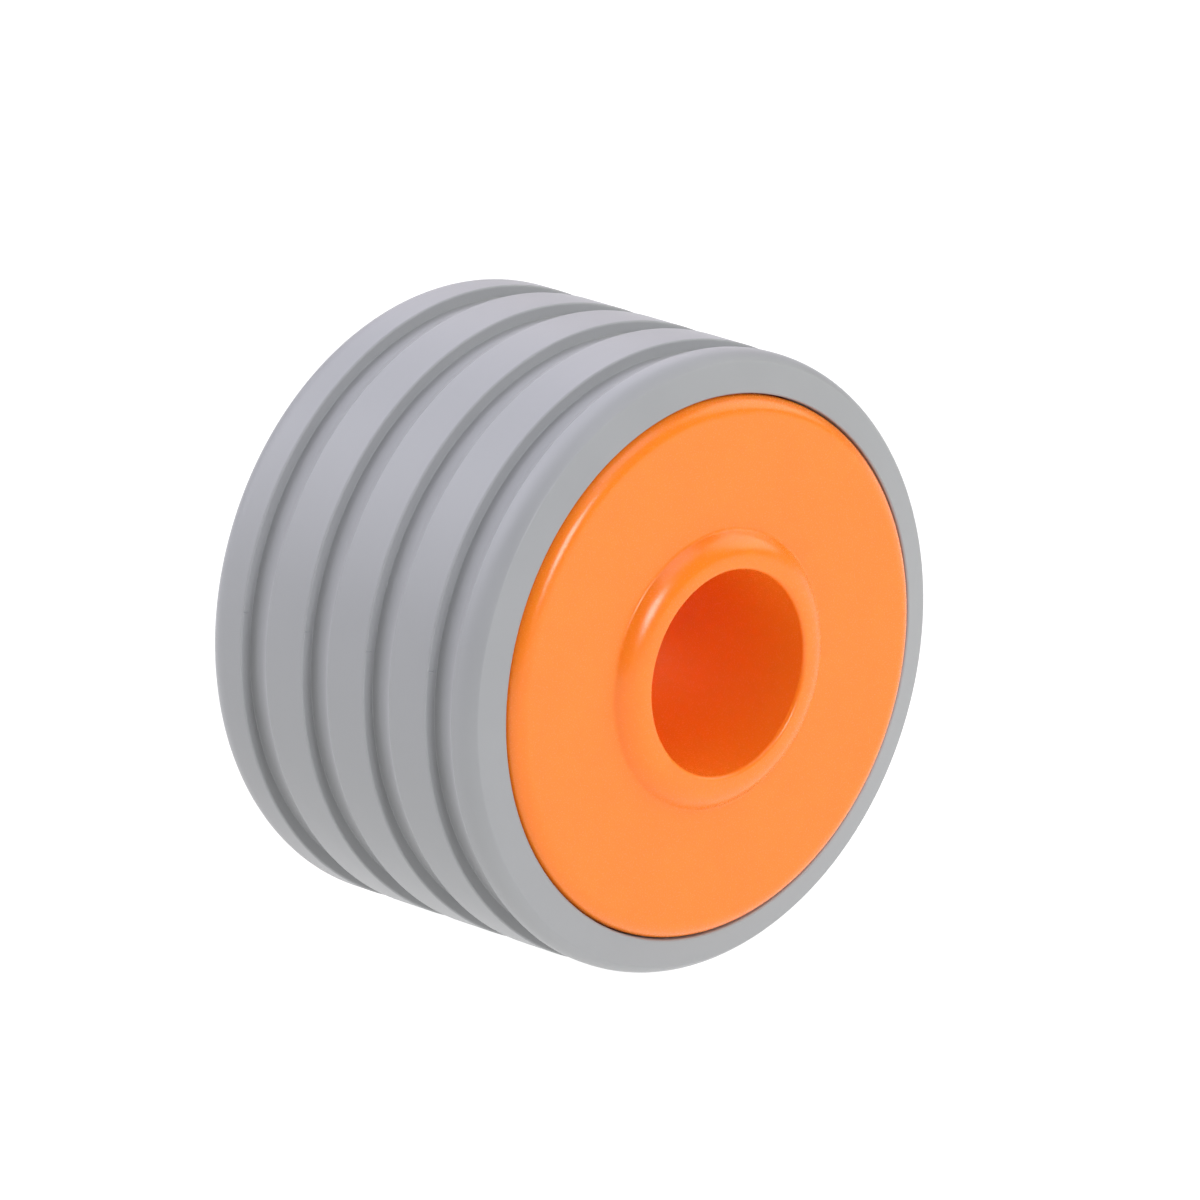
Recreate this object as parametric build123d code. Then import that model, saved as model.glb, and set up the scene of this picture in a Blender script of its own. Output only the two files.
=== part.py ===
from build123d import *
import os

# Grooved roller: a ribbed elastomer tread moulded round a rigid drum, on a two-piece hub with a plain bore.
# The bore axis is Y and the front face looks towards -Y. The origin is on the axis at mid-length.
# All sizes are in millimetres. Profiles are drawn with the radius along X and the axis along Y.

# Driving dimensions
CROWN_R = 31.0                   # outside of the tread
SHOULDER_R = 3.2                 # round that runs off the crown to the edge of the end face
EDGE_R = 30.1                    # outer edge of the tread's coned end face
EDGE_HALF = 18.63                # mid-plane to that edge
LIP_R = 27.1                     # inner edge of the tread's end face
LIP_HALF = 19.58                 # mid-plane to the inner edge of the end face

GROOVE_COUNT = 4
GROOVE_PITCH = 8.72
LAST_GROOVE_Y = 13.9             # wall of the rearmost groove
GROOVE_DEPTH = 1.2
RAMP_LENGTH = 3.6                # from a groove's wall forward to the next crown
CREST_R = 0.2                    # round on a groove's sharp edge

AXLE_R = 10.0                    # axle that the bore runs on
BORE_R = AXLE_R + 0.25           # running fit with the clearance that a moulded hub is given
BORE_EDGE_R = 0.45               # round at the mouth of the bore
DISC_R = 26.98                   # hub disc, a hair inside the tread's lip
DISC_FACE = 20.5                 # mid-plane to the flat of the disc
RIM_R = 1.8                      # round on the rim of the disc
BOSS_FLAT_R = 11.15              # outer edge of the boss's flat face, where its domed flank begins
BOSS_ROOT = 13.92                # boss where the flank meets the disc
BOSS_FACE = 22.2                 # mid-plane to the face of the boss
BOSS_ROOT_ROUND = 0.4            # round where the flank meets the disc

DRUM_R = 28.2                    # outside of the drum
DRUM_HALF = 17.4                 # half-length of the drum, which is also the seat of the hub's disc
SOCKET_R = 25.3                  # bore of the drum where the skirts sit
SOCKET_FLOOR = 12.0              # mid-plane to the floor of a socket
LEDGE_R = 24.4                   # ledge that the hooks catch behind
LEDGE_HALF = 8.1                 # mid-plane to the catching face of a ledge
LEAD_IN = 0.7                    # chamfer that guides the hooks over a ledge

FIT_GAP = 0.1                    # gap between parts that slide together
BOND_GAP = 0.02                  # tread to drum, bonded in the mould
STATIONS = 6                     # ribs, keys and hooks round the hub
STEP_DEG = 360 / STATIONS

TUBE_ROOT_R = 12.7               # outside of the bore tube at the disc
TUBE_END_R = 12.3                # and at its free end, drafted
DISC_BACK = 17.9                 # mid-plane to the inner face of the disc
SKIRT_WALL = 2.2
SKIRT_END = 12.4                 # mid-plane to the free edge of the skirt
HOOK_SWEEP = 17.0                # hooks and their slots, in degrees round the axis
SLOT_SWEEP = 3.0
SLOT_END = 16.2                  # mid-plane to the closed end of a slot
HOOK_WALL = 1.6
HOOK_TIP = 5.8                   # mid-plane to the tip of a hook
BARB_R = 25.1                    # reach of a hook's barb
BARB_LAND = 0.6                  # flat on the barb before it tapers
RIB_WALL = 1.6
RIB_END_TUBE = 8.5               # mid-plane to the free edge of a rib at the tube
RIB_END_SKIRT = 13.4             # and at the skirt
KEY_WIDTH = 3.0
KEY_R = 26.3                     # reach of the keys that stop the hub turning in the drum
KEY_DEPTH = 2.4

DOG_COUNT = 3                    # teeth that lock the two bore tubes together
DOG_REACH = 1.5                  # how far a tooth passes the mid-plane
DOG_SWEEP = 59.0                 # a little under a sixth of a turn

SPLINE_COUNT = 12                # ribs inside the tread that key it to the drum
SPLINE_WIDTH = 2.4
SPLINE_DEPTH = 0.8
SPLINE_HALF = 14.0               # half-length of a spline


def turned(section):
    """Turn a section, drawn with the radius along X, once round the bore axis."""
    return revolve(section, Axis.Y, 360)


def sector(section, sweep):
    """Turn a section through part of a turn, centred on +X."""
    return revolve(section, Axis.Y, sweep).rotate(Axis.Y, -sweep / 2)


def at_angle(shape, degrees):
    """Swing a shape that was made on +X round the bore axis."""
    return shape.rotate(Axis.Y, degrees)


def box_section(r_low, r_high, y_low, y_high):
    """A rectangle between two radii and two stations along the axis."""
    return Pos((r_low + r_high) / 2, (y_low + y_high) / 2) * Rectangle(r_high - r_low, y_high - y_low)


def plate(section, thickness):
    """A flat plate standing on the radial plane through +X, centred on it."""
    return extrude(section, thickness / 2, both=True)


def rounded(section, corner, radius):
    """Round the corner of a section that lies nearest to a point."""
    vertex = section.vertices().sort_by_distance((*corner, 0))[0]
    return fillet(vertex, radius)


# Tread sleeve

def groove_section(wall_y):
    """A groove seen from the side: a square wall, then a hollow ramp forward to the crown."""
    floor_r = CROWN_R - GROOVE_DEPTH
    ramp_end = wall_y - RAMP_LENGTH
    above = CROWN_R + 1.0
    hollow = TangentArc((floor_r, wall_y), (CROWN_R, ramp_end), tangent=(0, -1))
    lid = Polyline((CROWN_R, ramp_end), (above, ramp_end), (above, wall_y), (floor_r, wall_y))
    return make_face([hollow, lid])


def shoulder_start():
    """Where the crown ends and the shoulder's round begins, from the mid-plane."""
    drop = CROWN_R - EDGE_R
    return EDGE_HALF - (SHOULDER_R**2 - (SHOULDER_R - drop)**2)**0.5


def tread_section():
    """Half section of the sleeve: coned ends, round shoulders, sawtooth grooves and lips over the drum."""
    start = shoulder_start()
    front = TangentArc((CROWN_R, -start), (EDGE_R, -EDGE_HALF), tangent=(0, -1))
    crown = Line((CROWN_R, -start), (CROWN_R, start))
    rear = TangentArc((CROWN_R, start), (EDGE_R, EDGE_HALF), tangent=(0, 1))
    inside = Polyline(
        (EDGE_R, EDGE_HALF),
        (LIP_R, LIP_HALF),
        (LIP_R, DRUM_HALF),
        (DRUM_R + BOND_GAP, DRUM_HALF),
        (DRUM_R + BOND_GAP, -DRUM_HALF),
        (LIP_R, -DRUM_HALF),
        (LIP_R, -LIP_HALF),
        (EDGE_R, -EDGE_HALF),
    )
    section = make_face([front, crown, rear, inside])
    for index in range(GROOVE_COUNT):
        wall_y = LAST_GROOVE_Y - index * GROOVE_PITCH
        section = section - groove_section(wall_y)
        section = rounded(section, (CROWN_R, wall_y), CREST_R)
    return section


def tread_sleeve():
    """The grey tread, with splines on its inside that fill the drum's channels."""
    sleeve = turned(tread_section())
    spline_floor = DRUM_R - SPLINE_DEPTH + BOND_GAP
    spline = plate(box_section(spline_floor, DRUM_R + 0.5, -SPLINE_HALF, SPLINE_HALF), SPLINE_WIDTH)
    for index in range(SPLINE_COUNT):
        sleeve = sleeve + at_angle(spline, (index + 0.5) * 360 / SPLINE_COUNT)
    return sleeve


# Core drum

def drum_section():
    """Half section of the drum: a socket at each end and a ledge for the hooks behind it."""
    outline = [
        (DRUM_R, -DRUM_HALF),
        (DRUM_R, DRUM_HALF),
        (SOCKET_R, DRUM_HALF),
        (SOCKET_R, SOCKET_FLOOR),
        (LEDGE_R + LEAD_IN, SOCKET_FLOOR),
        (LEDGE_R, SOCKET_FLOOR - LEAD_IN),
        (LEDGE_R, LEDGE_HALF),
        (SOCKET_R, LEDGE_HALF),
        (SOCKET_R, -LEDGE_HALF),
        (LEDGE_R, -LEDGE_HALF),
        (LEDGE_R, LEAD_IN - SOCKET_FLOOR),
        (LEDGE_R + LEAD_IN, -SOCKET_FLOOR),
        (SOCKET_R, -SOCKET_FLOOR),
        (SOCKET_R, -DRUM_HALF),
    ]
    return make_face(Polyline(*outline, close=True))


def core_drum():
    """The rigid drum under the tread, channelled outside and slotted at both ends for the hub's keys."""
    drum = turned(drum_section())
    channel_half = SPLINE_HALF + BOND_GAP
    channel_floor = DRUM_R - SPLINE_DEPTH
    channel_width = SPLINE_WIDTH + 2 * BOND_GAP
    channel = plate(box_section(channel_floor, DRUM_R + 1, -channel_half, channel_half), channel_width)
    for index in range(SPLINE_COUNT):
        drum = drum - at_angle(channel, (index + 0.5) * 360 / SPLINE_COUNT)
    slot_floor = DRUM_HALF - KEY_DEPTH - FIT_GAP
    slot_reach = KEY_R + FIT_GAP
    slot_width = KEY_WIDTH + 2 * FIT_GAP
    front_slot = plate(box_section(SOCKET_R - 1, slot_reach, -DRUM_HALF - 1, -slot_floor), slot_width)
    rear_slot = plate(box_section(SOCKET_R - 1, slot_reach, slot_floor, DRUM_HALF + 1), slot_width)
    for station in range(STATIONS):
        drum = drum - at_angle(front_slot, station * STEP_DEG)
        drum = drum - at_angle(rear_slot, station * STEP_DEG)
    return drum


# Hub half

def hub_section():
    """Half section of the front hub: domed boss, disc with a round rim, skirt and drafted bore tube."""
    skirt_r = SOCKET_R - FIT_GAP
    dome = TangentArc((BOSS_FLAT_R, -BOSS_FACE), (BOSS_ROOT, -DISC_FACE), tangent=(1, 0))
    outline = Polyline(
        (BOSS_ROOT, -DISC_FACE),
        (DISC_R, -DISC_FACE),
        (DISC_R, -DRUM_HALF),
        (skirt_r, -DRUM_HALF),
        (skirt_r, -SKIRT_END),
        (skirt_r - SKIRT_WALL, -SKIRT_END),
        (skirt_r - SKIRT_WALL, -DISC_BACK),
        (TUBE_ROOT_R, -DISC_BACK),
        (TUBE_END_R, -DOG_REACH),
        (BORE_R, -DOG_REACH),
        (BORE_R, -BOSS_FACE),
        (BOSS_FLAT_R, -BOSS_FACE),
    )
    section = make_face([dome, outline])
    section = rounded(section, (DISC_R, -DISC_FACE), RIM_R)
    section = rounded(section, (BOSS_ROOT, -DISC_FACE), BOSS_ROOT_ROUND)
    return rounded(section, (BORE_R, -BOSS_FACE), BORE_EDGE_R)


def hook():
    """A cantilever hook on +X: its barb passes the drum's ledge and catches behind it."""
    outer = LEDGE_R - FIT_GAP
    inner = outer - HOOK_WALL
    catch = -LEDGE_HALF + FIT_GAP
    outline = Polyline(
        (inner, -SLOT_END - 1),
        (outer, -SLOT_END - 1),
        (outer, catch),
        (BARB_R, catch),
        (BARB_R, catch + BARB_LAND),
        (outer - BARB_LAND, -HOOK_TIP),
        (inner, -HOOK_TIP),
        close=True,
    )
    return sector(make_face(outline), HOOK_SWEEP)


def hook_window():
    """The gap in the skirt round one hook, which frees it to flex."""
    inside = SOCKET_R - SKIRT_WALL - 1
    gap = box_section(inside, SOCKET_R + 1, -SLOT_END, -SKIRT_END + 1)
    return sector(gap, HOOK_SWEEP + 2 * SLOT_SWEEP)


def rib():
    """A radial web on +X from the bore tube to the skirt, sloping up to the tube."""
    skirt_r = SOCKET_R - FIT_GAP - SKIRT_WALL
    outline = Polyline(
        (TUBE_END_R - 0.5, -DISC_BACK - 0.5),
        (skirt_r + 0.5, -DISC_BACK - 0.5),
        (skirt_r + 0.5, -RIB_END_SKIRT),
        (TUBE_END_R - 0.5, -RIB_END_TUBE),
        close=True,
    )
    return plate(make_face(outline), RIB_WALL)


def key():
    """A square key on +X under the disc, which stops the hub turning in the drum."""
    return plate(box_section(SOCKET_R - 1, KEY_R, -DRUM_HALF - 0.5, -DRUM_HALF + KEY_DEPTH), KEY_WIDTH)


def dog():
    """One tooth of the joint between the bore tubes, centred on +X and as thick as the tube's wall."""
    return sector(box_section(BORE_R, TUBE_END_R, -DOG_REACH - 0.5, DOG_REACH - FIT_GAP), DOG_SWEEP)


def hub_half():
    """The front half of the hub. The rear half is the same moulding turned over."""
    hub = turned(hub_section())
    for station in range(STATIONS):
        rib_angle = station * STEP_DEG
        hook_angle = (station + 0.5) * STEP_DEG
        hub = hub - at_angle(hook_window(), hook_angle)
        hub = hub + at_angle(hook(), hook_angle)
        hub = hub + at_angle(rib(), rib_angle)
        hub = hub + at_angle(key(), rib_angle)
    for index in range(DOG_COUNT):
        hub = hub + at_angle(dog(), index * 360 / DOG_COUNT)
    return hub


def main():
    """Build every piece and write one STEP file each."""
    os.makedirs("parts", exist_ok=True)
    front = hub_half()
    pieces = {
        "tread_sleeve": tread_sleeve(),
        "core_drum": core_drum(),
        "front_hub_half": front,
        "rear_hub_half": front.rotate(Axis.Z, 180),
    }
    for name, shape in pieces.items():
        export_step(shape, f"parts/{name}.step")


main()
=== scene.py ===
"""Looks for a grooved roller: a ribbed grey elastomer tread on a snapped orange hub with a plain bore.

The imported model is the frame. The tread is rebuilt as one moulded sleeve by Geometry Nodes, with the
small flash that a split mould leaves on its groove walls. The hub halves and the drum keep their own
meshes and get their finishes. Everything is in metres; sizes marked MM are given in millimetres.
"""

import logging
import math
from dataclasses import dataclass
from enum import Enum

import bpy
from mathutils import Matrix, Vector


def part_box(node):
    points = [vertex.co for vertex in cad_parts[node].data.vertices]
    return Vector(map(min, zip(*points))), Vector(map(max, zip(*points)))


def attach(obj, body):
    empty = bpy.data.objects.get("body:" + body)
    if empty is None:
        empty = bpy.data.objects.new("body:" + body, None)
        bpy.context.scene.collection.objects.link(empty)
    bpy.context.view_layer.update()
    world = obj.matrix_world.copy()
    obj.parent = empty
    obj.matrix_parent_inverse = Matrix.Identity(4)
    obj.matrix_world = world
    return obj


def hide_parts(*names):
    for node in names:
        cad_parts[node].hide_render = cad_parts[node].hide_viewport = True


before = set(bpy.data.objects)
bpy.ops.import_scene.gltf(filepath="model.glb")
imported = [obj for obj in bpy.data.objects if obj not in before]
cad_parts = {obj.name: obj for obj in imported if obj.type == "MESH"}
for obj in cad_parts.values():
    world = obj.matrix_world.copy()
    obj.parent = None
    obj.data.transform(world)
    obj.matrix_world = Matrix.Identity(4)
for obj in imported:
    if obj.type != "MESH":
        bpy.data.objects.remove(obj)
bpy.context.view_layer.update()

MM = 0.001
ROOT_BODY = "root"
LOG = logging.getLogger("grooved_roller")


class Slot(Enum):
    """The record's material slots."""

    TREAD = "tread"
    DRUM = "drum"
    HUB = "hub"


# Small helpers


def linear_colour(code: str) -> tuple[float, float, float, float]:
    """Turn an sRGB hex colour to linear light.

    Args:
        code: Six hex digits after a hash sign.

    Returns:
        Red, green, blue and an alpha of one.
    """
    parts = [int(code[i:i + 2], 16) / 255 for i in (1, 3, 5)]
    linear = [p / 12.92 if p <= 0.04045 else ((p + 0.055) / 1.055) ** 2.4 for p in parts]
    return (*linear, 1.0)


def add_node(tree: bpy.types.NodeTree, kind: str, inputs: dict | None = None, **settings) -> bpy.types.Node:
    """Add a node with its settings and its inputs.

    Args:
        tree: The tree that gets the node.
        kind: The node's type name.
        inputs: Values or output sockets, by input name or number.
        **settings: Properties of the node itself.

    Returns:
        The new node.
    """
    node = tree.nodes.new(kind)
    for name, value in settings.items():
        setattr(node, name, value)
    for key, value in (inputs or {}).items():
        if isinstance(value, bpy.types.NodeSocket):
            tree.links.new(value, node.inputs[key])
        else:
            node.inputs[key].default_value = value
    return node


def new_material(name: str) -> tuple[bpy.types.Material, bpy.types.NodeTree]:
    """Make an empty node material.

    Args:
        name: The material's name.

    Returns:
        The material and its cleared node tree.
    """
    material = bpy.data.materials.new(name)
    material.use_nodes = True
    material.node_tree.nodes.clear()
    return material, material.node_tree


# Finishes


@dataclass(frozen=True)
class ElastomerFinish:
    """Thermoplastic elastomer on a styrene base, injection moulded in a fine spark-eroded tool.

    It is soft to the eye: a broad dull sheen, faint clouding where the melt flowed, and a fine even grain.
    """

    body_hex: str = "#A3A4A5"
    cloud_hex: str = "#9D9E9F"
    ior: float = 1.5
    roughness_low: float = 0.42
    roughness_high: float = 0.52
    grain_mm: float = 0.22
    cloud_mm: float = 9.0
    grain_depth_mm: float = 0.006
    sheen: float = 0.3
    sheen_roughness: float = 0.25

    def build(self) -> bpy.types.Material:
        """Make the material."""
        material, tree = new_material("grey_tpe_moulded")
        where = add_node(tree, "ShaderNodeTexCoord")
        place = where.outputs["Object"]
        cloud = add_node(
            tree, "ShaderNodeTexNoise",
            {"Vector": place, "Scale": 1 / (self.cloud_mm * MM), "Detail": 4.0, "Roughness": 0.55},
        )
        grain = add_node(
            tree, "ShaderNodeTexNoise",
            {"Vector": place, "Scale": 1 / (self.grain_mm * MM), "Detail": 2.0, "Roughness": 0.6},
        )
        colour = add_node(
            tree, "ShaderNodeMix",
            {0: cloud.outputs["Fac"], 6: linear_colour(self.cloud_hex), 7: linear_colour(self.body_hex)},
            data_type="RGBA",
        )
        rough = add_node(
            tree, "ShaderNodeMapRange",
            {"Value": cloud.outputs["Fac"], "From Min": 0.3, "From Max": 0.7,
             "To Min": self.roughness_low, "To Max": self.roughness_high},
        )
        bump = add_node(
            tree, "ShaderNodeBump",
            {"Height": grain.outputs["Fac"], "Strength": 1.0, "Distance": self.grain_depth_mm * MM},
        )
        shader = add_node(
            tree, "ShaderNodeBsdfPrincipled",
            {"Base Color": colour.outputs[2], "Roughness": rough.outputs["Result"],
             "Normal": bump.outputs["Normal"], "IOR": self.ior, "Sheen Weight": self.sheen,
             "Sheen Roughness": self.sheen_roughness},
        )
        add_node(tree, "ShaderNodeOutputMaterial", {"Surface": shader.outputs["BSDF"]})
        return material


@dataclass(frozen=True)
class AcetalFinish:
    """Acetal copolymer, pigmented orange right through and moulded with a fine satin texture.

    It is dense and slightly waxy: light goes a little way in, so edges glow and the bore turns red.
    """

    body_hex: str = "#FF8722"
    warm_hex: str = "#FE8220"
    ior: float = 1.48
    roughness_low: float = 0.2
    roughness_high: float = 0.3
    grain_mm: float = 0.16
    cloud_mm: float = 7.0
    grain_depth_mm: float = 0.004
    glow_mm: float = 1.2
    glow_share: float = 0.3
    glow_spread: tuple[float, float, float] = (1.0, 0.35, 0.12)

    def build(self) -> bpy.types.Material:
        """Make the material."""
        material, tree = new_material("orange_acetal_satin")
        where = add_node(tree, "ShaderNodeTexCoord")
        place = where.outputs["Object"]
        cloud = add_node(
            tree, "ShaderNodeTexNoise",
            {"Vector": place, "Scale": 1 / (self.cloud_mm * MM), "Detail": 3.0, "Roughness": 0.5},
        )
        grain = add_node(
            tree, "ShaderNodeTexNoise",
            {"Vector": place, "Scale": 1 / (self.grain_mm * MM), "Detail": 2.0, "Roughness": 0.6},
        )
        colour = add_node(
            tree, "ShaderNodeMix",
            {0: cloud.outputs["Fac"], 6: linear_colour(self.warm_hex), 7: linear_colour(self.body_hex)},
            data_type="RGBA",
        )
        rough = add_node(
            tree, "ShaderNodeMapRange",
            {"Value": grain.outputs["Fac"], "From Min": 0.3, "From Max": 0.7,
             "To Min": self.roughness_low, "To Max": self.roughness_high},
        )
        bump = add_node(
            tree, "ShaderNodeBump",
            {"Height": grain.outputs["Fac"], "Strength": 1.0, "Distance": self.grain_depth_mm * MM},
        )
        shader = add_node(
            tree, "ShaderNodeBsdfPrincipled",
            {"Base Color": colour.outputs[2], "Roughness": rough.outputs["Result"],
             "Normal": bump.outputs["Normal"], "IOR": self.ior,
             "Subsurface Weight": self.glow_share, "Subsurface Radius": self.glow_spread,
             "Subsurface Scale": self.glow_mm * MM},
        )
        add_node(tree, "ShaderNodeOutputMaterial", {"Surface": shader.outputs["BSDF"]})
        return material


@dataclass(frozen=True)
class FilledPolypropyleneFinish:
    """Black glass-filled polypropylene, as moulded: dull, with a slight mottle from the fibres."""

    body_hex: str = "#2B2C2E"
    fibre_hex: str = "#3A3B3D"
    ior: float = 1.49
    roughness_low: float = 0.5
    roughness_high: float = 0.68
    fibre_mm: float = 0.35

    def build(self) -> bpy.types.Material:
        """Make the material."""
        material, tree = new_material("black_glass_filled_pp")
        where = add_node(tree, "ShaderNodeTexCoord")
        fibre = add_node(
            tree, "ShaderNodeTexNoise",
            {"Vector": where.outputs["Object"], "Scale": 1 / (self.fibre_mm * MM), "Detail": 3.0},
        )
        colour = add_node(
            tree, "ShaderNodeMix",
            {0: fibre.outputs["Fac"], 6: linear_colour(self.body_hex), 7: linear_colour(self.fibre_hex)},
            data_type="RGBA",
        )
        rough = add_node(
            tree, "ShaderNodeMapRange",
            {"Value": fibre.outputs["Fac"], "To Min": self.roughness_low, "To Max": self.roughness_high},
        )
        shader = add_node(
            tree, "ShaderNodeBsdfPrincipled",
            {"Base Color": colour.outputs[2], "Roughness": rough.outputs["Result"], "IOR": self.ior},
        )
        add_node(tree, "ShaderNodeOutputMaterial", {"Surface": shader.outputs["BSDF"]})
        return material


# Turned outlines


@dataclass(frozen=True)
class Corner:
    """A corner of a turned outline, in millimetres: its radius, its place along the axis and its round."""

    radius: float
    station: float
    rounding: float = 0.0


def corner_arc(before: Vector, at: Vector, after: Vector, rounding: float, step_deg: float) -> list[Vector]:
    """Replace a corner by an arc that is tangent to both its sides.

    Args:
        before: The outline's point before the corner.
        at: The corner.
        after: The outline's point after the corner.
        rounding: The arc's radius; none leaves the corner sharp.
        step_deg: The largest turn from one point of the arc to the next.

    Returns:
        The points that stand for the corner.
    """
    if rounding <= 0:
        return [at]
    inward = (before - at).normalized()
    outward = (after - at).normalized()
    turn = math.pi - inward.angle(outward)
    setback = rounding * math.tan(turn / 2)
    centre = at + (inward + outward).normalized() * (rounding / math.cos(turn / 2))
    start = at + inward * setback - centre
    end = at + outward * setback - centre
    count = max(2, math.ceil(math.degrees(turn) / step_deg))
    points = []
    for index in range(count + 1):
        share = index / count
        blend = start * math.sin((1 - share) * turn) + end * math.sin(share * turn)
        points.append(centre + blend / math.sin(turn))
    return points


def turned_outline(corners: list[Corner], step_deg: float = 7.5, margin: float = 0.06) -> list[Vector]:
    """Round the corners of a closed outline, and frame each long straight with a point near its ends.

    Args:
        corners: The outline, in order.
        step_deg: The largest turn between two points of a round.
        margin: How near to a straight's ends its framing points lie, in millimetres.

    Returns:
        The outline's points, radius first, in metres.
    """
    places = [Vector((c.radius, c.station)) for c in corners]
    arcs = []
    for index, corner in enumerate(corners):
        before = places[index - 1]
        after = places[(index + 1) % len(places)]
        arcs.append(corner_arc(before, places[index], after, corner.rounding, step_deg))
    points = []
    for index, arc in enumerate(arcs):
        points.extend(arc)
        run = arcs[(index + 1) % len(arcs)][0] - arc[-1]
        if run.length > 6 * margin:
            points.append(arc[-1] + run.normalized() * margin)
            points.append(arc[-1] + run - run.normalized() * margin)
    return [p * MM for p in points]


# Geometry Nodes


def group_with_inputs(name: str, inputs: dict[str, str]) -> tuple[bpy.types.NodeTree, bpy.types.Node]:
    """Make a Geometry Nodes group that takes a geometry and some named inputs.

    Args:
        name: The group's name.
        inputs: Socket types by input name.

    Returns:
        The group and its input node.
    """
    tree = bpy.data.node_groups.new(name, "GeometryNodeTree")
    tree.interface.new_socket("Geometry", in_out="INPUT", socket_type="NodeSocketGeometry")
    for label, kind in inputs.items():
        tree.interface.new_socket(label, in_out="INPUT", socket_type=kind)
    tree.interface.new_socket("Geometry", in_out="OUTPUT", socket_type="NodeSocketGeometry")
    return tree, tree.nodes.new("NodeGroupInput")


def baked(source: bpy.types.Object, tree: bpy.types.NodeTree, values: dict, name: str) -> bpy.types.Object:
    """Run a Geometry Nodes group on an object and keep the result as a plain mesh.

    Args:
        source: The object whose mesh the group takes; it is removed.
        tree: The group.
        values: Input values by name.
        name: The new piece's name.

    Returns:
        The piece, with no modifier.
    """
    modifier = source.modifiers.new("build", "NODES")
    modifier.node_group = tree
    identifiers = {
        item.name: item.identifier
        for item in tree.interface.items_tree
        if item.item_type == "SOCKET" and item.in_out == "INPUT"
    }
    for label, value in values.items():
        modifier[identifiers[label]] = value
    bpy.context.view_layer.update()
    graph = bpy.context.evaluated_depsgraph_get()
    mesh = bpy.data.meshes.new_from_object(source.evaluated_get(graph))
    bpy.data.objects.remove(source)
    mesh.name = name
    piece = bpy.data.objects.new(name, mesh)
    bpy.context.scene.collection.objects.link(piece)
    return piece


def wire_object(name: str, points: list[Vector]) -> bpy.types.Object:
    """Make a closed loop of edges from an outline, with the radius along X and the axis along Y.

    Args:
        name: The object's name.
        points: The outline.

    Returns:
        The loop.
    """
    mesh = bpy.data.meshes.new(name)
    edges = [(i, (i + 1) % len(points)) for i in range(len(points))]
    mesh.from_pydata([(p.x, p.y, 0) for p in points], edges, [])
    loop = bpy.data.objects.new(name, mesh)
    bpy.context.scene.collection.objects.link(loop)
    return loop


def turning_tree(sharp_deg: float) -> bpy.types.NodeTree:
    """Build the group that turns an outline round the bore axis and sets nibs of flash on the walls.

    The outline is swept along a circle, so each of its points keeps its radius and its station. The
    sweep lies flat, and a quarter turn stands its axis along Y.

    Args:
        sharp_deg: Edges that turn by more than this stay sharp.

    Returns:
        The group.
    """
    tree, given = group_with_inputs(
        "Turned sleeve",
        {"Ring Radius": "NodeSocketFloat", "Ring Segments": "NodeSocketInt",
         "Wall Count": "NodeSocketInt", "First Wall": "NodeSocketVector", "Wall Step": "NodeSocketVector",
         "Parting Angle": "NodeSocketFloat", "Flash": "NodeSocketObject", "Finish": "NodeSocketMaterial"},
    )
    take = given.outputs
    outline = add_node(tree, "GeometryNodeMeshToCurve", {"Mesh": take["Geometry"]})
    ring = add_node(
        tree, "GeometryNodeCurvePrimitiveCircle",
        {"Radius": take["Ring Radius"], "Resolution": take["Ring Segments"]},
    )
    swept = add_node(
        tree, "GeometryNodeCurveToMesh",
        {"Curve": ring.outputs["Curve"], "Profile Curve": outline.outputs["Curve"]},
    )
    upright = add_node(
        tree, "GeometryNodeTransform",
        {"Geometry": swept.outputs["Mesh"], "Rotation": (math.radians(90), 0, 0)},
    )
    fold = add_node(tree, "GeometryNodeInputMeshEdgeAngle")
    sharp = add_node(
        tree, "FunctionNodeCompare",
        {"A": fold.outputs["Unsigned Angle"], "B": math.radians(sharp_deg)},
        operation="LESS_EQUAL",
    )
    smooth = add_node(
        tree, "GeometryNodeSetShadeSmooth",
        {"Geometry": upright.outputs["Geometry"], "Shade Smooth": sharp.outputs["Result"]},
        domain="EDGE",
    )
    walls = add_node(
        tree, "GeometryNodeMeshLine",
        {"Count": take["Wall Count"], "Start Location": take["First Wall"], "Offset": take["Wall Step"]},
    )
    flash = add_node(tree, "GeometryNodeObjectInfo", {"Object": take["Flash"]})
    nibs = add_node(
        tree, "GeometryNodeInstanceOnPoints",
        {"Points": walls.outputs["Mesh"], "Instance": flash.outputs["Geometry"]},
    )
    both = add_node(tree, "GeometryNodeJoinGeometry")
    tree.links.new(smooth.outputs["Geometry"], both.inputs["Geometry"])
    for half_turn in (0, math.pi):
        angle = add_node(tree, "ShaderNodeMath", {0: take["Parting Angle"], 1: half_turn}, operation="ADD")
        axis = add_node(tree, "ShaderNodeCombineXYZ", {"Y": angle.outputs["Value"]})
        row = add_node(
            tree, "GeometryNodeTransform",
            {"Geometry": nibs.outputs["Instances"], "Rotation": axis.outputs["Vector"]},
        )
        tree.links.new(row.outputs["Geometry"], both.inputs["Geometry"])
    real = add_node(tree, "GeometryNodeRealizeInstances", {"Geometry": both.outputs["Geometry"]})
    finished = add_node(
        tree, "GeometryNodeSetMaterial",
        {"Geometry": real.outputs["Geometry"], "Material": take["Finish"]},
    )
    add_node(tree, "NodeGroupOutput", {"Geometry": finished.outputs["Geometry"]})
    return tree


# Sub-assemblies


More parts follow.
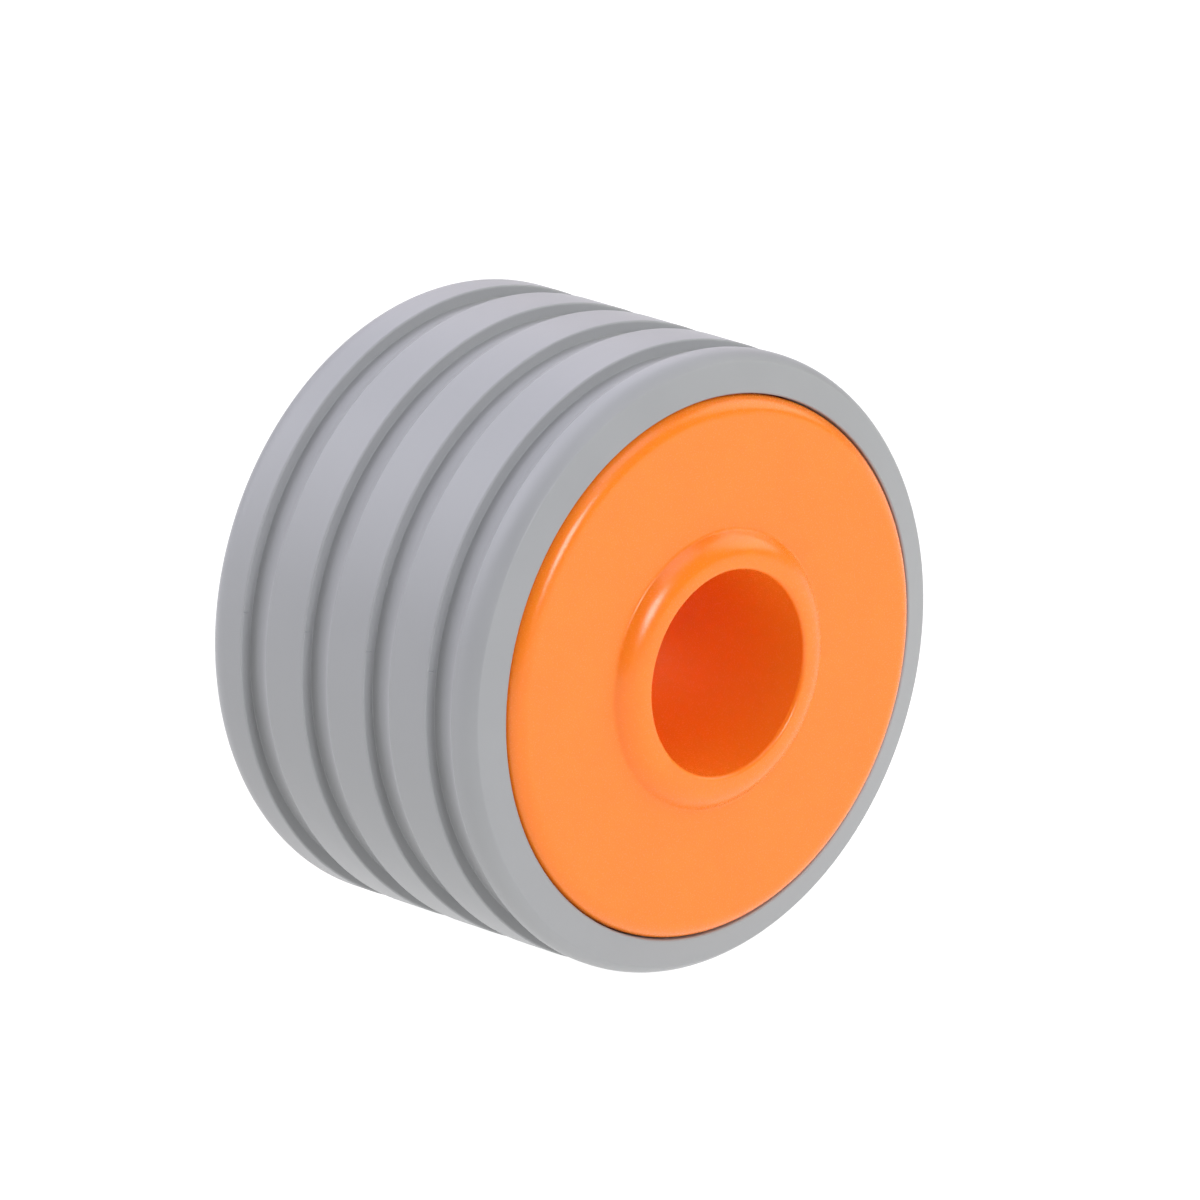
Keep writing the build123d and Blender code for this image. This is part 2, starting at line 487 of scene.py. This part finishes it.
@dataclass
class TreadSleeve:
    """The grey tread: coned ends with round shoulders, and sawtooth grooves with nibs of mould flash.

    Sizes are in millimetres. The crown's radius and the length come from the frame.
    """

    groove_count: int = 4
    groove_pitch: float = 8.72
    last_wall: float = 13.9
    groove_depth: float = 1.2
    ramp_length: float = 3.6
    ramp_tightening: float = 0.93
    crest_round: float = 0.2
    root_round: float = 0.08
    ramp_round: float = 0.35
    edge_radius: float = 30.1
    edge_half: float = 18.63
    edge_round: float = 0.35
    lip_radius: float = 27.1
    lip_round: float = 0.2
    shoulder_round: float = 2.9
    shoulder_meets_crown: float = 17.69
    inner_radius: float = 28.22
    seat_half: float = 17.4
    ring_segments: int = 288
    parting_deg: float = 188.6
    nib_thickness: float = 0.3
    nib_reach: float = 0.12
    nib_height: float = 0.7
    nib_below_crown: float = 0.06
    nib_root: float = 0.1
    sharp_deg: float = 32.0

    def crown(self) -> float:
        """Return the crown's radius."""
        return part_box("tread_sleeve")[1].x / MM

    def half_length(self) -> float:
        """Return half the sleeve's length."""
        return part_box("tread_sleeve")[1].y / MM

    def groove_corners(self, wall: float) -> list[Corner]:
        """Give a groove's corners, from its wall's edge at the rear to the end of its ramp.

        Args:
            wall: Where the groove's square wall stands.

        Returns:
            The corners, with the ramp's hollow as one wide round.
        """
        crown = self.crown()
        floor = crown - self.groove_depth
        hollow = (self.ramp_length ** 2 + self.groove_depth ** 2) / (2 * self.groove_depth)
        bend = hollow * math.tan(math.asin(self.ramp_length / hollow) / 2)
        return [
            Corner(crown, wall, self.crest_round),
            Corner(floor, wall, self.root_round),
            Corner(floor, wall - bend, hollow * self.ramp_tightening),
            Corner(crown, wall - self.ramp_length, self.ramp_round),
        ]

    def corners(self) -> list[Corner]:
        """Give the whole outline, from the rear lip forward along the crown and back inside."""
        crown = self.crown()
        end = self.half_length()
        shoulder = self.shoulder_meets_crown
        outline = [
            Corner(self.lip_radius, end, self.lip_round),
            Corner(self.edge_radius, self.edge_half, self.edge_round),
            Corner(crown, shoulder, self.shoulder_round),
        ]
        for index in range(self.groove_count):
            outline.extend(self.groove_corners(self.last_wall - index * self.groove_pitch))
        outline.extend([
            Corner(crown, -shoulder, self.shoulder_round),
            Corner(self.edge_radius, -self.edge_half, self.edge_round),
            Corner(self.lip_radius, -end, self.lip_round),
            Corner(self.lip_radius, -self.seat_half),
            Corner(self.inner_radius, -self.seat_half),
            Corner(self.inner_radius, self.seat_half),
            Corner(self.lip_radius, self.seat_half),
        ])
        return outline

    def flash_nib(self) -> bpy.types.Object:
        """Make one nib of flash at +X: a thin ridge that stands on a groove's wall, just under its edge."""
        high = self.crown() * MM - self.nib_below_crown * MM
        low = high - self.nib_height * MM
        half = self.nib_thickness * MM / 2
        reach = self.nib_reach * MM
        back = self.nib_root * MM
        points = [
            (low, back, -half), (low, back, half), (high, back, -half), (high, back, half),
            (high, -reach, 0), (low + reach, -reach, 0),
        ]
        faces = [(0, 2, 4, 5), (1, 5, 4, 3), (2, 3, 4), (0, 1, 3, 2), (0, 5, 1)]
        mesh = bpy.data.meshes.new("flash_nib")
        mesh.from_pydata(points, [], faces)
        nib = bpy.data.objects.new("flash_nib", mesh)
        bpy.context.scene.collection.objects.link(nib)
        return nib

    def build(self, finish: bpy.types.Material) -> bpy.types.Object:
        """Turn the sleeve, add its flash, hang it on the root body and hide the frame's own sleeve.

        Args:
            finish: The tread's material.

        Returns:
            The finished piece.
        """
        outline = turned_outline(self.corners())
        ring_radius = self.crown() * MM
        loop = wire_object("tread_outline", [Vector((p.x - ring_radius, p.y)) for p in outline])
        nib = self.flash_nib()
        piece = baked(
            loop, turning_tree(self.sharp_deg),
            {"Ring Radius": ring_radius, "Ring Segments": self.ring_segments,
             "Wall Count": self.groove_count, "First Wall": (0, self.last_wall * MM, 0),
             "Wall Step": (0, -self.groove_pitch * MM, 0), "Parting Angle": math.radians(self.parting_deg),
             "Flash": nib, "Finish": finish},
            "tread_moulded",
        )
        bpy.data.objects.remove(nib)
        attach(piece, ROOT_BODY)
        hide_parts("tread_sleeve")
        LOG.info("tread: %d faces", len(piece.data.polygons))
        return piece


@dataclass
class CarriedNodes:
    """The pieces that keep the frame's own meshes: both hub halves and the drum."""

    hub_nodes: tuple[str, ...] = ("front_hub_half", "rear_hub_half")
    drum_node: str = "core_drum"

    def dress(self, hub_finish: bpy.types.Material, drum_finish: bpy.types.Material) -> None:
        """Give each node its material.

        Args:
            hub_finish: The orange of the hub halves.
            drum_finish: The black of the drum.
        """
        finishes = {node: (hub_finish, Slot.HUB) for node in self.hub_nodes}
        finishes[self.drum_node] = (drum_finish, Slot.DRUM)
        for name, (finish, slot) in finishes.items():
            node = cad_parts[name]
            node.data.materials.clear()
            node.data.materials.append(finish)
            LOG.info("%s: %d faces", name, len(node.data.polygons))


# Studio


@dataclass(frozen=True)
class Softbox:
    """A square area light aimed at the roller's middle: its bearing, height, side and power."""

    name: str
    azimuth: float
    elevation: float
    size: float
    watts: float
    tint: str

    def build(self, distance: float) -> None:
        """Hang the light.

        Args:
            distance: How far from the roller it hangs.
        """
        lamp = bpy.data.lights.new(self.name, "AREA")
        lamp.shape = "SQUARE"
        lamp.size = self.size
        lamp.energy = self.watts
        lamp.color = linear_colour(self.tint)[:3]
        bearing = math.radians(self.azimuth)
        height = math.radians(self.elevation)
        back = Vector((
            math.sin(bearing) * math.cos(height), -math.cos(bearing) * math.cos(height), math.sin(height),
        ))
        light = bpy.data.objects.new(self.name, lamp)
        light.location = back * distance
        light.rotation_euler = (-back).to_track_quat("-Z", "Y").to_euler()
        bpy.context.scene.collection.objects.link(light)


@dataclass
class Studio:
    """A white table lit from below, softboxes all round and a long lens at the roller's front left."""

    camera_azimuth: float = -43.8
    camera_elevation: float = 17.5
    camera_distance: float = 1.302
    lens_mm: float = 400.3
    sensor_mm: float = 36.0
    clip_near: float = 0.01
    clip_far: float = 20.0
    aim_station: float = -4.09 * MM
    aim_rise: float = 3.22 * MM
    floor_half: float = 3.0
    floor_hex: str = "#5E5E5E"
    floor_glow_hex: str = "#FFFFFF"
    floor_roughness: float = 0.9
    floor_glow: float = 0.99
    room_light: float = 0.06
    room_tint: str = "#FBFCFF"
    softbox_distance: float = 1.5
    lights: tuple[Softbox, ...] = (
        Softbox("front_key", -12, 25, 0.5, 10.6, "#F8FAFF"),
        Softbox("top_front", 8, 62, 0.9, 5.0, "#F4F2FF"),
        Softbox("right_fill", 66, 30, 1.0, 7.4, "#FFFEED"),
        Softbox("backdrop_low", 137, 25, 1.0, 3.4, "#FFF0FA"),
        Softbox("backdrop_high", 150, 50, 1.0, 6.2, "#EEEEFF"),
        Softbox("back_left_high", -140, 60, 1.2, 9.6, "#F5F4FF"),
        Softbox("back_left_low", -150, 30, 1.2, 11.4, "#F5F4FF"),
    )

    def build_camera(self) -> None:
        """Stand the camera so that the roller lies a little below the picture's centre."""
        bearing = math.radians(self.camera_azimuth)
        height = math.radians(self.camera_elevation)
        back = Vector((
            math.sin(bearing) * math.cos(height), -math.cos(bearing) * math.cos(height), math.sin(height),
        ))
        right = Vector((math.cos(bearing), math.sin(bearing), 0))
        up = back.cross(right)
        target = Vector((0, self.aim_station, 0))
        lens = bpy.data.cameras.new("camera")
        lens.lens = self.lens_mm
        lens.sensor_width = self.sensor_mm
        lens.clip_start = self.clip_near
        lens.clip_end = self.clip_far
        camera = bpy.data.objects.new("camera", lens)
        camera.location = target + back * self.camera_distance
        view = target + up * self.aim_rise - camera.location
        camera.rotation_euler = view.to_track_quat("-Z", "Y").to_euler()
        bpy.context.scene.collection.objects.link(camera)
        bpy.context.scene.camera = camera

    def build_floor(self) -> None:
        """Lay the table that the tread rests on. Its own light keeps it white under the roller."""
        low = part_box("tread_sleeve")[0].z
        half = self.floor_half
        mesh = bpy.data.meshes.new("light_table")
        corners = [(-half, -half, low), (half, -half, low), (half, half, low), (-half, half, low)]
        mesh.from_pydata(corners, [], [(0, 1, 2, 3)])
        floor = bpy.data.objects.new("light_table", mesh)
        bpy.context.scene.collection.objects.link(floor)
        material, tree = new_material("opal_light_table")
        shader = add_node(
            tree, "ShaderNodeBsdfPrincipled",
            {"Base Color": linear_colour(self.floor_hex), "Roughness": self.floor_roughness,
             "Emission Color": linear_colour(self.floor_glow_hex), "Emission Strength": self.floor_glow},
        )
        add_node(tree, "ShaderNodeOutputMaterial", {"Surface": shader.outputs["BSDF"]})
        mesh.materials.append(material)

    def build_light(self) -> None:
        """Fill the room with even light and hang the softboxes."""
        world = bpy.data.worlds.new("room")
        world.use_nodes = True
        tree = world.node_tree
        tree.nodes.clear()
        glow = add_node(
            tree, "ShaderNodeBackground",
            {"Color": linear_colour(self.room_tint), "Strength": self.room_light},
        )
        add_node(tree, "ShaderNodeOutputWorld", {"Surface": glow.outputs["Background"]})
        bpy.context.scene.world = world
        for light in self.lights:
            light.build(self.softbox_distance)

    def build(self) -> None:
        """Make the whole studio, with colours shown as they are."""
        self.build_camera()
        self.build_floor()
        self.build_light()
        bpy.context.scene.view_settings.view_transform = "Standard"
        LOG.info("studio: %d softboxes", len(self.lights))


def main() -> None:
    """Build the roller and its studio."""
    logging.basicConfig(level=logging.INFO, format="%(name)s: %(message)s")
    TreadSleeve().build(ElastomerFinish().build())
    CarriedNodes().dress(AcetalFinish().build(), FilledPolypropyleneFinish().build())
    Studio().build()


if __name__ == "__main__":
    main()
